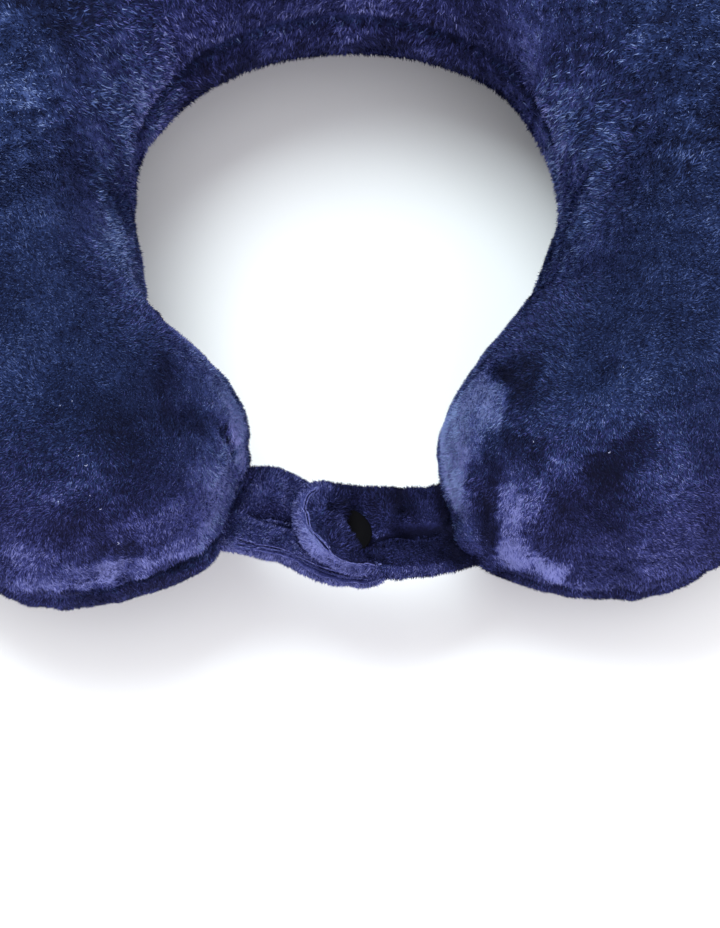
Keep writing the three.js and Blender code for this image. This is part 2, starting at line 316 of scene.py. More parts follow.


# The straps, each from its root to its free end. Places along it are its reach, and the side is how
# far to the left of its middle line a point lies. "front" is the sign of the side at the front,
# "shades" are the painted sheen levels at the back and at the front, "rim" is the painted highlight
# of the rim, "sheen_lines" that of the flattened pile beside the sewn lines, and "root_shadow" the
# painted shadow at the root: its lift, the reach by which it fades out and the reach up to which it
# is full
BEYOND = 1000
STRAPS = {
    "strap_left": {
        "line": [
            (-42, 9, 39), (-32, 6.6, 38.5), (-18, 4.1, 36.5),
            (-3, -0.5, 33.5), (7, -2, 32), (15, -2.6, 31.5),
        ],
        "front": -1, "crease_side": (-1.6, 0), "crease_end": 50, "waist": 1.4, "seams": (0.7, 2.2, 3.7),
        "sewn_from": 8, "fold_at": BEYOND, "snap_at": BEYOND, "slant": 0, "puff": 0, "curl": 0,
        "shades": (0.08, 0.26), "rim": 0.25, "sheen_lines": 0.35, "root_shadow": (-0.12, 13, 9),
    },
    "strap_right": {
        "line": [
            (43, 6, 30), (32.5, 4, 32), (16.5, 0.2, 36),
            (1, -1.2, 39.5), (-8, -0.6, 42), (-15, 0.6, 43.5),
        ],
        "front": 1, "crease_side": (-1, 0.15), "crease_end": 40, "waist": 0, "seams": (3.2,),
        "sewn_from": 34, "fold_at": 27.5, "snap_at": 44.5, "slant": 0.45, "puff": 2.6, "curl": 3,
        "shades": (-0.1, -0.19), "rim": 0.6, "sheen_lines": 0.45, "root_shadow": (-0.6, 16.5, 13),
    },
}
STRAP_HALF_WIDTH = 15.5
STRAP_HALF_DEPTH = 4.8
STRAP_ROOT = {"half_width": 13.5, "half_depth": 2, "reach": 22, "wider_from": 4, "thicker_from": 8}
STRAP_ROOT_LENGTH = 3
STRAP_TIP_LENGTH = 13
STRAP_TIP_SHARE = 8 / 38
STRAP_ROOT_SHARE = 3 / 38
STRAP_END_POWER = 0.8
STRAP_POWER = 0.75
STRAP_EVENING = 0.15
STRAP_SPAN = 0.5
STRAP_CREASE = {"depth": 2.6, "width": 2.4, "from": (12, 24), "run_out": (-5, 5)}
CREASE_LINE = {"depth": 3.6, "width": 1.1}
FOLD = {"depth": 0.9, "width": 2, "slope": 0.15, "across": (-1, -5)}
WAIST = {"at": 29, "reach": 9}
STRAP_PINCH = {"depth": 1.4, "reach": 0.35}
STRAP_GROOVE = {"depth": 1, "width": 0.5}
SEWN_RUN = {"across": (-2, 2), "run_in": 6, "tip": (48, 54), "off": 5}
ROUGHNESS = [(14, 0.35, 8), (7, 0.25, 9)]  # size, height, seed
STRAP_PILE = {"depth": 0.9, "share": 0.5, "from": 0.3}
STRAP_TOP = (0, 0.2)
FLAP_RUN = (-3, 5)
FLAP_PUFF_ACROSS = (-18, 2)
FLAP_SLANT = {"lean": 0.65, "point": 0.35, "run_in": 20}
FLAP_CURL_TO_TIP = 5
FLAP_FLAT_EDGE = {"run_in": 8, "across": (9, 0)}
FLAP_WALL = {"height": 1.9, "share": 0.4, "across": (0, 9), "run_in": 10}
FLAP_CORNER = {"share": 2.1, "side": 7, "width": 4.6, "reach": (49, 54)}
SNAP_SIDE = 1.5
SNAP_SPAN = 0.2
SNAP_WELL = {
    "offset": 4, "half_length": 3, "half_width": 6.8, "floor": 1, "tip_lip": 1.8, "root_lip": 3,
}
CAP_RADIUS, CAP_THICKNESS, CAP_EDGE = 7, 2, 0.6
CAP_DISH, CAP_DISH_SPAN = 0.5, (0.75, 0.3)
CAP_HOLE, CAP_FACE_FROM = 0.05, 0.9
CAP_STEPS = (7, 14, 96)
PIECE_GAP = 0.3


def crease_side(strap, reach):
    """How far to the side of the strap's middle line its crease runs."""
    at_root, per_reach = strap["crease_side"]
    return at_root + per_reach * reach


def seam_distance(strap, reach, side, from_edge):
    """How far a point of a strap's top lies from the nearest sewn line along its front or its tip."""
    from_line = from_edge - wall_width(strap, reach, side)
    nearest = np.array([np.abs(from_line - at) for at in strap["seams"]]).min(0)
    start = strap["sewn_from"]
    at_front = ease(side * strap["front"], *SEWN_RUN["across"])
    at_front = at_front * ease(reach, start, start + SEWN_RUN["run_in"])
    at_end = ease(reach, *SEWN_RUN["tip"])
    return nearest + SEWN_RUN["off"] * (1 - np.maximum(at_front, at_end))


def wall_width(strap, reach, side):
    """How much further from the edge the rim and the sewn lines run up the front wall of the flap.

    They run further still where the wall turns the flap's front corner."""
    snap, corner = strap["snap_at"], FLAP_CORNER
    turned = corner["share"] * bell(side - corner["side"], corner["width"]) * ease(reach, *corner["reach"])
    front = FLAP_WALL["share"] * ease(side, *FLAP_WALL["across"])
    return FLAP_WALL["height"] * (front * ease(reach, snap - FLAP_WALL["run_in"], snap) + turned)


def in_fold(strap, reach, side):
    """Where the soft fold across the back half of a strap lies, from 0 to 1."""
    away = reach - strap["fold_at"] - FOLD["slope"] * side
    return bell(away, FOLD["width"]) * ease(side * strap["front"], *FOLD["across"])


def past_snap(strap, reach):
    """From 0 before the snap to 1 on the free end beyond it."""
    return ease(reach, *(strap["snap_at"] + by for by in FLAP_RUN))


def along_crease(strap, reach, crease):
    """From 0 to 1 where a strap's crease begins, and back to 0 where it ends."""
    run_out = (strap["crease_end"] + by for by in crease["run_out"])
    return ease(reach, *crease["from"]) * (1 - ease(reach, *run_out))


def strap_stand_off(strap, reach, side, on_top):
    """How far the strap's top or bottom stands off its middle."""
    filled = ease(reach, STRAP_ROOT["thicker_from"], STRAP_ROOT["reach"])
    full = between(STRAP_ROOT["half_depth"], STRAP_HALF_DEPTH, filled)
    creased = along_crease(strap, reach, STRAP_CREASE)
    from_crease = side - crease_side(strap, reach)
    crease = STRAP_CREASE["depth"] * bell(from_crease, STRAP_CREASE["width"])
    line = CREASE_LINE["depth"] * bell(from_crease, CREASE_LINE["width"])
    low = full - (crease + line) * creased - FOLD["depth"] * in_fold(strap, reach, side)
    from_well = reach - (strap["snap_at"] - SNAP_WELL["offset"])
    away = np.hypot(from_well / SNAP_WELL["half_length"], (side - SNAP_SIDE) / SNAP_WELL["half_width"])
    lip = np.where(from_well > 0, SNAP_WELL["tip_lip"], SNAP_WELL["root_lip"])
    puffed = low + strap["puff"] * past_snap(strap, reach) * ease(side, *FLAP_PUFF_ACROSS)
    top = between(SNAP_WELL["floor"], puffed, ease(away, 1, lip))
    return np.where(on_top, top, low)


def strap_grid(strap, rows, columns):
    """The strap's skin: its points, how far along, across and from the edge each lies, and which are
    on top."""
    curve = Curve(strap["line"])
    along, even_turn = even_steps(rows, columns)
    tip_width, tip_back = rounded_end((1 - along) / STRAP_TIP_SHARE, STRAP_END_POWER)
    root_width, root_back = rounded_end(along / STRAP_ROOT_SHARE, STRAP_END_POWER)
    at_tip = along > 1 - STRAP_TIP_SHARE
    at_root = along < STRAP_ROOT_SHARE
    share = (along - STRAP_ROOT_SHARE) / (1 - STRAP_TIP_SHARE - STRAP_ROOT_SHARE)
    reach = STRAP_ROOT_LENGTH + share * (curve.length - STRAP_TIP_LENGTH - STRAP_ROOT_LENGTH)
    reach = np.where(at_tip, curve.length - STRAP_TIP_LENGTH * tip_back, reach)
    reach = np.where(at_root, STRAP_ROOT_LENGTH * root_back, reach)
    fullness = np.where(at_tip, tip_width, np.where(at_root, root_width, 1))
    centre = curve.at(curve.t_at(reach))
    heading = curve.along(reach, STRAP_SPAN)
    heading[..., 2] = 0
    heading /= span_of(heading)[..., None]
    sideways = leftward(heading)
    turn = even_turn - STRAP_EVENING * np.sin(2 * even_turn)
    rise = np.sin(turn)
    pinch = STRAP_PINCH["depth"] * bell(rise, STRAP_PINCH["reach"])
    filled = ease(reach, STRAP_ROOT["wider_from"], STRAP_ROOT["reach"])
    half_width = between(STRAP_ROOT["half_width"], STRAP_HALF_WIDTH - pinch, filled)
    waist = strap["waist"] * bell(reach - WAIST["at"], WAIST["reach"])
    half_width = half_width - STRAP_PILE["depth"] - waist * (np.cos(turn) < 0)
    side = half_width * fullness * signed_power(np.cos(turn), STRAP_POWER)
    stand_off = strap_stand_off(strap, reach, side, rise > 0)
    stand_off = stand_off * np.abs(rise) ** STRAP_POWER * np.sign(rise) * fullness
    snap = strap["snap_at"]
    lean = strap["slant"] * (FLAP_SLANT["lean"] * side + FLAP_SLANT["point"] * np.abs(side))
    lean = lean * ease(reach, snap - FLAP_SLANT["run_in"], snap)
    curl = strap["curl"] * ease(side, 0, STRAP_HALF_WIDTH)
    curl = curl * ease(reach, snap, curve.length - FLAP_CURL_TO_TIP)
    points = centre + sideways * side[..., None] - heading * lean[..., None]
    points[..., 2] = centre[..., 2] + stand_off + curl
    normals = skin_normals(points, centre)
    rough = layered_waves(points, ROUGHNESS)
    flat = ease(reach, snap - FLAP_FLAT_EDGE["run_in"], snap) * ease(side, *FLAP_FLAT_EDGE["across"])
    from_edge = edge_distance(points, flat)
    on_top = ease(rise, *STRAP_TOP)
    off_seam = seam_distance(strap, reach, side, from_edge)
    sewn = bell(off_seam, STRAP_GROOVE["width"]) * on_top
    for_pile = STRAP_PILE["share"] * STRAP_PILE["depth"] * (np.abs(rise) > STRAP_PILE["from"])
    sunk = STRAP_GROOVE["depth"] * sewn + for_pile
    points = points + normals * (rough * fullness - sunk)[..., None]
    return points, reach, side, from_edge, on_top


def edge_distance(grid, flat):
    """How far each point of a strap's skin lies from its edge: round the skin, or in plan where flat."""
    middle = grid.shape[1] // 2
    steps = span_of(np.roll(grid, -1, axis=1) - grid)
    place = np.cumsum(steps, axis=1) - steps
    from_back = np.minimum(place, steps.sum(1, keepdims=True) - place)
    round_skin = np.minimum(from_back, np.abs(place - place[:, [middle]]))
    edge = np.vstack([grid[:, 0, :2], grid[:, middle, :2]])
    in_plan = np.array([span_of(row[:, None, :2] - edge).min(-1) for row in grid])
    return between(round_skin, in_plan, flat)


def snap_seat():
    """The snap cap's place in drawing millimetres: its middle, and its three directions as rows."""
    strap = STRAPS["strap_right"]
    curve = Curve(strap["line"])
    reach = np.array(strap["snap_at"])
    heading = curve.along(reach, SNAP_SPAN)
    sideways = leftward(heading)
    sideways /= np.linalg.norm(sideways)
    up = np.cross(heading, sideways)
    place = curve.at(curve.t_at(reach)) + sideways * SNAP_SIDE
    return place + up * (SNAP_WELL["floor"] + PIECE_GAP), np.array([heading, sideways, up])


# From drawing millimetres to the row frame: the outline's middle goes over the origin
PLAIN_STEPS = (400, 160)
PLAIN_ENDS = (0.002, 0.998)
turns = even_steps(*PLAIN_STEPS)[1]
plain = cushion_points(np.linspace(*PLAIN_ENDS, len(turns))[:, None] + 0 * turns, turns)[0]
TO_ROW = -(plain.min((0, 1)) + plain.max((0, 1))) / 2
TO_ROW[2] = 0


def to_row(points):
    return (points + TO_ROW) * MM


def add_object(name, data):
    thing = bpy.data.objects.new(name, data)
    bpy.context.scene.collection.objects.link(thing)
    return thing


def mesh_object(name, points, faces, materials, smooth=True, slots=None):
    """An object from row-frame points and equal-sided faces, which rides on the pillow."""
    mesh = bpy.data.meshes.new(name)
    sides = faces.shape[1]
    mesh.vertices.add(len(points))
    mesh.vertices.foreach_set("co", points.astype(np.float32).ravel())
    mesh.loops.add(faces.size)
    mesh.loops.foreach_set("vertex_index", faces.astype(np.int32).ravel())
    mesh.polygons.add(len(faces))
    mesh.polygons.foreach_set("loop_start", np.arange(0, faces.size, sides, dtype=np.int32))
    if slots is not None:
        mesh.polygons.foreach_set("material_index", slots.astype(np.int32))
    mesh.update(calc_edges=True)
    mesh.polygons.foreach_set("use_smooth", np.full(len(faces), smooth))
    for material in materials:
        mesh.materials.append(material)
    thing = add_object(name, mesh)
    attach(thing, "root")
    return thing


def grid_faces(grid):
    """The numbers of a grid's points, those of the points beside them, and its four-sided faces."""
    rows, columns, _ = grid.shape
    index = np.arange(rows * columns).reshape(rows, columns)
    ahead = np.roll(index, -1, axis=1)
    return index, ahead, np.stack([index[:-1], ahead[:-1], ahead[1:], index[1:]], -1).reshape(-1, 4)


def closed_skin(name, grid, material, shade=None):
    """A closed skin over a grid of points, each end closed to one point by a fan.

    shade, the pile's mottle and painted light, mostly from 0 to 1 at each point, is kept on the mesh
    for the material."""
    index, ahead, quads = grid_faces(grid)
    tip = np.full(grid.shape[1], index.size)
    fans = [np.stack([ahead[0], index[0], tip], -1), np.stack([index[-1], ahead[-1], tip + 1], -1)]
    tips = np.array([grid[0].mean(0), grid[-1].mean(0)])
    points = to_row(np.vstack([grid.reshape(-1, 3), tips]))
    triangles = np.vstack([quads[:, [0, 1, 2]], quads[:, [0, 2, 3]], *fans])
    skin = mesh_object(name, points, triangles, [material])
    if shade is not None:
        values = np.append(shade.ravel(), [shade[0].mean(), shade[-1].mean()])
        kept = skin.data.attributes.new("lie", "FLOAT", "POINT")
        kept.data.foreach_set("value", values.astype(np.float32))
    return skin


def srgb(red, green, blue):
    """A colour given as 0 to 255, as the shader takes it, by the standard sRGB curve."""
    parts = [value / 255 for value in (red, green, blue)]
    return (*[p / 12.92 if p <= 0.04045 else ((p + 0.055) / 1.055) ** 2.4 for p in parts], 1)


def add_node(tree, kind, values=None):
    """A node of a kind, with some of its inputs set by name."""
    node = tree.nodes.new("ShaderNode" + kind)
    put(node, values or {})
    return node


def put(node, values):
    for name, value in values.items():
        node.inputs[name].default_value = value


def new_material(name, look):
    """A material, its node tree and its shader, with the look's inputs set."""
    material = bpy.data.materials.new(name)
    material.use_nodes = True
    shader = material.node_tree.nodes["Principled BSDF"]
    put(shader, look)
    return material, material.node_tree, shader


def join(tree, *links):
    """Links nodes: each link is a node, its output, the next node and its input."""
    for source, output, target, into in links:
        tree.links.new(source.outputs[output], target.inputs[into])


def toned_noise(tree, shader, scale, low, high):
    """Gives the shader a colour that wanders between two by noise. Returns the noise."""
    noise = add_node(tree, "TexNoise", {"Scale": scale})
    tone = add_node(tree, "ValToRGB")
    for stop, colour in zip(tone.color_ramp.elements, (low, high)):
        stop.color = srgb(*colour)
    join(tree, (noise, "Fac", tone, "Fac"), (tone, "Color", shader, "Base Color"))
    return noise


# Painted sheen of the pile in seven levels, each in two painted tints: the bluer light from above where it
# faces up, and the purpler light of a side
PILE_SHADES = [  # from the darkest to the lightest: where it faces up, and to the side
    ((8, 12, 33), (11, 12, 36)), ((13, 19, 46), (17, 19, 50)), ((20, 30, 62), (26, 29, 67)),
    ((30, 43, 82), (38, 42, 89)), ((47, 62, 108), (56, 61, 117)), ((73, 89, 138), (82, 87, 146)),
    ((108, 124, 170), (114, 119, 176)),
]
# Painted shade of the cloth, which lies deeper than the pile
GROUND_PAINTED_SHADE = 0.92
GROUND_LOOK = {
    "Roughness": 1, "Specular IOR Level": 0.1, "Sheen Weight": 0.15, "Sheen Tint": srgb(90, 100, 190),
}
PILE_LOOK = {
    "Roughness": 0.8, "Specular IOR Level": 0.1, "Sheen Roughness": 0.4, "Sheen Tint": srgb(130, 142, 225),
}
PILE_SHEEN = (0.06, 0.04)  # of the darkest shade, and how much more each lighter one has


def shade_ramp(tree, facing):
    """A ramp through the shades of pile, in the painted light of a top, or of a side."""
    ramp = add_node(tree, "ValToRGB")
    last = len(PILE_SHADES) - 1
    for number, pair in enumerate(PILE_SHADES):
        stops = ramp.color_ramp.elements
        stop = stops.new(number / last) if 0 < number < last else stops[0 if number == 0 else -1]
        stop.color = srgb(*(GROUND_PAINTED_SHADE * part for part in pair[facing]))
    return ramp


def plush_ground(name, side_up_to, up_from):
    """The cloth between the pile: the pile's mottle and painted light in each place, with a grain, and a
    little darker as painted shade, for lying deeper.

    Its colour goes from the painted light of a side to that of a top between two heights of its normal."""
    material, tree, shader = new_material(name, GROUND_LOOK)
    place = add_node(tree, "TexCoord")
    grain = add_node(tree, "TexNoise", {"Scale": 1400, "Detail": 2})
    # The pile's mottle and painted light, kept on the mesh
    lie = add_node(tree, "Attribute")
    lie.attribute_name = "lie"
    speckle = add_node(tree, "MapRange", {"To Min": -0.3, "To Max": 0.3})
    speckled = add_node(tree, "Math")
    speckled.operation = "ADD"
    # The painted light of a side or of a top, by the height of the normal
    facing = add_node(tree, "NewGeometry")
    upward = add_node(tree, "SeparateXYZ")
    turned = add_node(tree, "MapRange", {"From Min": side_up_to, "From Max": up_from})
    to_side, to_up = shade_ramp(tree, 1), shade_ramp(tree, 0)
    mixed = add_node(tree, "Mix")
    mixed.data_type = "RGBA"
    bump = add_node(tree, "Bump", {"Distance": 0.0006})
    join(
        tree,
        (place, "Object", grain, "Vector"), (grain, "Fac", speckle, "Value"),
        (speckle, "Result", speckled, 0), (lie, "Fac", speckled, 1),
        (speckled, "Value", to_side, "Fac"), (speckled, "Value", to_up, "Fac"),
        (facing, "Normal", upward, "Vector"), (upward, "Z", turned, "Value"),
        (turned, "Result", mixed, "Factor"), (to_side, "Color", mixed, "A"),
        (to_up, "Color", mixed, "B"), (mixed, "Result", shader, "Base Color"),
        (grain, "Fac", bump, "Height"), (bump, "Normal", shader, "Normal"),
    )
    return material


def pile_materials():
    """Two plain materials per pile shade: painted top light for facing up, then painted side light."""
    materials = []
    sheen, lighter = PILE_SHEEN
    for shade, pair in enumerate(PILE_SHADES):
        for colour in pair:
            look = {"Base Color": srgb(*colour), "Sheen Weight": sheen + lighter * shade, **PILE_LOOK}
            materials.append(new_material(f"pile_shade_{len(materials)}", look)[0])
    return materials


# The heights of the normal up to which the pile takes the painted light of a side, and from which of a top
CUSHION_FACING = (0.35, 0.95)
STRAP_FACING = (0.9, 1.6)
CUSHION_GROUND = plush_ground("plush_ground", *CUSHION_FACING)
STRAP_GROUND = plush_ground("strap_ground", *STRAP_FACING)
PILE = pile_materials()


# Painted sheen and shade of the brushed pile, and painted highlights at the lobes' edges, lighter
# above 0 and darker below: from, to, reach, shade
SHEEN_STROKES = [
    (41, 27, 73, 42, 20, 71, 4.6, 0.42), (37, 30, 66, 35, 16, 62, 6, 0.38),
    (31, 24, 55, 30, 12, 50, 6, 0.36), (31, 14, 56, 32, 2, 44, 5, 0.38),
    (34, 0, 50, 36, -6, 38, 3.2, 0.2), (46, -1, 62, 47, -11, 40, 3.8, 0.41),
    (53, -3, 68, 49, -8, 54, 3.8, 0.26), (45, -11, 43, 53, -13, 41, 4.8, 0.4),
    (53, -13, 40, 60, -14, 38, 4.2, 0.4), (45, -10.5, 39, 60, -14, 35, 4, 0.42),
    (40, 34, 70, 33, 28, 60, 4, 0.3), (33, 26, 59, 30, 19, 52, 5, 0.3),
    (29, 18, 50, 31, 6, 46, 3.6, 0.25), (29, 26, 47, 30, 7, 42, 4.5, 0.35),
    (31, 34, 54, 29, 25, 47, 3.5, 0.3), (62, -15, 31, 75, -15, 29, 3, 0.25),
    (58, 1, 76, 63, 0, 76, 2.3, 0.15), (88, 5, 83, 92, -14, 44, 8, 0.12),
    (74, -13, 50, 88, -13, 44, 6, 0.12), (46, 4, 70, 47, 1, 67, 1.9, 0.3),
    (62, -14, 38, 78, -15, 36, 4, 0.12), (64, 14, 84, 80, 18, 88, 7, 0.06),
    (46, 30, 77, 52, 28, 81, 5, -0.26), (40, 34, 72, 45, 31, 76, 3.6, -0.26),
    (48, 22, 78, 51, 19, 80, 3.8, -0.2), (44, 11, 72, 52, 6, 76, 3.4, -0.24),
    (52, 3, 74, 52, 1, 72, 3.2, -0.22), (41, 7, 65, 41, -8, 42, 3.4, -0.24),
    (38, 3, 54, 40.5, -8, 41, 2.6, -0.16), (83, 4, 82, 71, -2, 76, 5, -0.27),
    (71, -3, 74, 63, -7, 65, 6.5, -0.22), (60, -9, 60, 61, -12, 53, 5.5, -0.14),
    (74, -5, 71, 72, -10, 62, 5.5, -0.16), (72, 23, 90, 74, 20, 90, 1.2, -0.35),
    (-90, -22, 46, -66, -20, 49, 4.8, 0.36), (-92, -22, 43, -73, -21.5, 44, 3, 0.2),
    (-66, -20, 49, -56, -17, 49, 3.6, 0.36), (-72, -21, 43, -57, -17, 43, 3.4, 0.32),
    (-56, -17, 49, -42, -10, 47, 2.4, 0.2), (-77, -22, 54, -62, -19, 52, 3.4, 0.26),
    (-90, -18, 56, -80, -20, 58, 5, 0.2), (-51, -11, 62, -38, -2, 56, 8, 0.22),
    (-42, 2, 68, -34, 6, 59, 4.6, 0.16), (-50, -13, 52, -38, -7, 47, 4, 0.2),
    (-82, -12, 78, -73, -8, 82, 3, 0.14), (-36, 24, 72, -31, 21, 60, 4, 0.2),
    (-46, 38, 76, -38, 30, 72, 5, 0.14), (-47, 46, 68, -33, 30, 63, 5.5, 0.26),
    (-32, 29, 62, -29, 19, 54, 5, 0.26), (-31, 13, 57, -32, 4, 49, 4.6, 0.08),
    (-34, 32, 62, -29, 18, 49, 3.5, 0.3), (-38, -8, 44.5, -33, 4, 49.5, 1.2, 0.25),
    (-33, 4, 49.5, -30, 11, 51.5, 1.2, 0.2), (-49, 29, 83, -48, 20, 82, 4.4, -0.2),
    (-50, 13, 83, -41, 15, 73, 4, -0.22), (-74, 8, 92, -57, 7, 86, 7.5, -0.1),
    (-64, 3, 87, -54, -4, 76, 7.5, -0.1), (-62, -10, 75, -76, -16, 70, 6, -0.14),
    (-69, -18, 62, -61, -17, 60, 3, -0.24), (-53, -14, 58, -50, -13, 56, 1.9, -0.22),
    (-83, -8, 83, -79, -7, 84, 2.6, -0.16), (-78, 32, 96, -74, 34, 95, 2.6, -0.16),
    (-34.5, 17, 64, -31, 16, 53, 1, -1), (-38, 18.5, 70, -34.5, 17, 64, 0.7, -0.3),
    (-35, 14.5, 65, -31.5, 14, 54, 1.1, 0.25), (-42, 17, 74, -36, 14, 66, 1.2, 0.15),
    (-78, -19, 65, -77, -21, 58, 1, -0.25), (-60, -15, 64, -62, -17, 57, 1, -0.2),
]
STROKE_EDGE = 0.35
STROKE_SWAY = 0.8
SWAYS = [[(14, 1, 21), (3, 0.7, 27)], [(14, 1, 22), (3, 0.7, 28)], [(14, 1, 23), (3, 0.7, 29)]]
MOTTLE = [(45, 0.025, 24), (19, 0.025, 25), (4.5, 0.025, 26), (2.2, 0.035, 27)]  # size, lift, seed
SHADE_LIMIT = 0.75
MOTTLE_BEHIND = {"span": (45, 100), "more": 1.5}


def mottle_and_painted_sheen(points):
    """The pile's random mottle and its painted sheen, shade and highlights on the cushion, above or below
    0, with ragged edges to each stroke.
    """
    moved = points + STROKE_SWAY * np.stack([layered_waves(points, sway) for sway in SWAYS], -1)
    shade = layered_waves(points, MOTTLE)
    shade *= 1 + MOTTLE_BEHIND["more"] * ease(points[..., 1], *MOTTLE_BEHIND["span"])
    for *line, reach, lift in SHEEN_STROKES:
        away = line_distance(moved, line) / reach
        shade += lift * ease(away, 1 + STROKE_EDGE, 1 - STROKE_EDGE)
    return np.clip(shade, -SHADE_LIMIT, SHADE_LIMIT)


def corners(grid):
    """The four corners of each cell of a grid."""
    beside = np.roll(grid, -1, axis=1)
    return [grid[:-1], beside[:-1], grid[1:], beside[1:]]


def scatter(grid, normals, count, density, rng):
    """Random places on a skin grid: points, normals, their grid cells and the corners' shares."""
    corner = corners(grid)
    along = corner[2] - corner[0]
    around = corner[1] - corner[0]
    area = span_of(np.cross(along, around)) * density[:-1]
    chance = np.cumsum(area.ravel())
    pick = np.searchsorted(chance, rng.uniform(0, chance[-1], count))
    row, column = np.unravel_index(np.minimum(pick, area.size - 1), area.shape)
    u, v = rng.uniform(size=(2, count, 1))
    shares = [(1 - u) * (1 - v), (1 - u) * v, u * (1 - v), u * v]
    point = sum(share * c[row, column] for share, c in zip(shares, corner))
    return point, normals[row, column], (row, column), shares


def unit(vectors):
    return vectors / (span_of(vectors)[..., None] + TINY)


MIDDLE_SHADE = 0.38
BLADE_LENGTHS = (0.7, 1.25)
BLADE_OFF_FLOOR = 0.3


def blades(name, roots, normals, lie, shade, scale, size, rng, bluer=0):
    """A piece of pile: one bent-over sliver of fibre for each root, lying the way of lie.

    bluer, above 0, gives it more of the colours of the painted top light."""
    count = len(roots)
    lean = np.radians(rng.normal(size["lean"], size["spread"], count))[:, None]
    length = size["length"] * scale * rng.uniform(*BLADE_LENGTHS, (count, 1))
    lie = unit(lie - normals * np.sum(lie * normals, -1, keepdims=True))
    side = np.cross(normals, lie)
    swing = rng.normal(0, size["swing"], (count, 1))
    lie = unit(lie + side * swing)
    side = np.cross(normals, lie)
    axis = normals * np.cos(lean) + lie * np.sin(lean)
    tips = roots + axis * length
    tips[:, 2] = np.maximum(tips[:, 2], BLADE_OFF_FLOOR)
    half = side * scale * size["width"] / 2
    points = np.stack([roots - half, roots + half, tips], 1).reshape(-1, 3)
    faces = np.arange(3 * count).reshape(-1, 3)
    last = len(PILE_SHADES) - 1
    level = (shade + MIDDLE_SHADE) * last + size["mottle"] * rng.uniform(-1, 1, count)
    level = np.clip(np.round(level), 0, last)
    # Painted light: the colours of a side where the normal is low, of a top where it is high
    facing_side = rng.uniform(*size["facing"], count) > normals[:, 2] + bluer
    slots = 2 * level + facing_side
    piece = mesh_object(name, to_row(points), faces, PILE, smooth=False, slots=slots)


CUSHION_STEPS = (320, 176)
CUSHION_BLADES = {
    "length": 1.3, "width": 0.38, "lean": 52, "spread": 14, "swing": 0.7, "mottle": 2.5,
    "facing": CUSHION_FACING,
}
PILE_PARTS = 4
BLADES_PER_PART = 167000
CUSHION_SEED = 41
FRONT = (150, 80)
COARSER_BEHIND = 0.5
DENSITY = {"behind": 0.35, "more_in_front": 0.95, "off_floor": 0.8, "facing_down": -0.5, "thinner": 0.4}
SWIRL = [(60, 1, 31), (24, 0.5, 32), (6, 0.35, 33)]  # size, turn, seed
OUTWARD = 0.8
SEAM_PARTING = {"reach": 0.05, "bare": 0.012, "up_to_inward": 0.3}
# Painted highlight on the puckers' ridges, painted shade in their hollows and in the fine creases
PUCKER_SHADE = 0.14
# Painted shade on the lower panel, under the seam's overhang
UNDER_SHADE = {"lift": -0.12, "edge": 0.02}
INNER_SHADE = {"span": (0.62, 0.92), "lift": 0.22}  # painted highlight on the lobes' sides facing each other
# Painted bluer top light on the lobes' sides that face each other
INNER_BLUER = 0.55
ROOT_DEPTH = 0.2


def cushion_lie(points, normals, over_seam):
    """The way the pile lies: forward and down, swirling slowly, and away from the seam beside it."""
    angle = layered_waves(points, SWIRL)
    down = np.full_like(points, -1)
    down[:, 0] = OUTWARD * np.sign(points[:, 0])
    down = unit(down - normals * np.sum(down * normals, -1, keepdims=True))
    across = np.cross(down, normals)
    lie = down * np.cos(angle)[:, None] + across * np.sin(angle)[:, None]
    parted = bell(over_seam, SEAM_PARTING["reach"])[:, None] * (over_seam[:, None] < 0)
    return lie * (1 - parted) + np.array([0, 0, -1]) * parted


def build_cushion():
    grid, normals, arc, over_seam, pucker = cushion_grid(*CUSHION_STEPS)
    inward = ease(-np.sign(grid[..., 0]) * normals[..., 0], *INNER_SHADE["span"])
    # Painted shade under the seam, painted light and shade on the puckers, painted highlight on the inner
    # sides
    edge = UNDER_SHADE["edge"]
    under = UNDER_SHADE["lift"] * ease(over_seam, edge, -edge) * (1 - inward)
    lift = PUCKER_SHADE * pucker + under + INNER_SHADE["lift"] * inward
    cushion = closed_skin("cushion", grid, CUSHION_GROUND, mottle_and_painted_sheen(grid) + lift + MIDDLE_SHADE)
    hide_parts("pillow_body")
    rng = np.random.default_rng(CUSHION_SEED)
    front = ease(np.minimum(arc, MIDDLE.length - arc), *FRONT)
    parting = inward < SEAM_PARTING["up_to_inward"]
    density = DENSITY["behind"] + DENSITY["more_in_front"] * front
    density *= grid[..., 2] >= DENSITY["off_floor"]
    density *= np.where(normals[..., 2] < DENSITY["facing_down"], DENSITY["thinner"], 1)
    density *= ~((np.abs(over_seam) < SEAM_PARTING["bare"]) & parting)
    count = PILE_PARTS * BLADES_PER_PART
    roots, up, cell, _ = scatter(grid, normals, count, density, rng)
    shade = mottle_and_painted_sheen(roots) + lift[cell]
    lie = cushion_lie(roots, up, np.where(parting, over_seam, 1)[cell])
    scale = 1 + COARSER_BEHIND * (1 - front[cell])[:, None]
    order = np.argsort(cell[0], kind="stable")
    for number, part in enumerate(np.split(order, PILE_PARTS)):
        blades(
            f"cushion_pile_{number}", roots[part] - up[part] * ROOT_DEPTH, up[part], lie[part],
            shade[part], scale[part], CUSHION_BLADES, rng, INNER_BLUER * inward[cell][part],
        )
    build_lint(grid, normals)


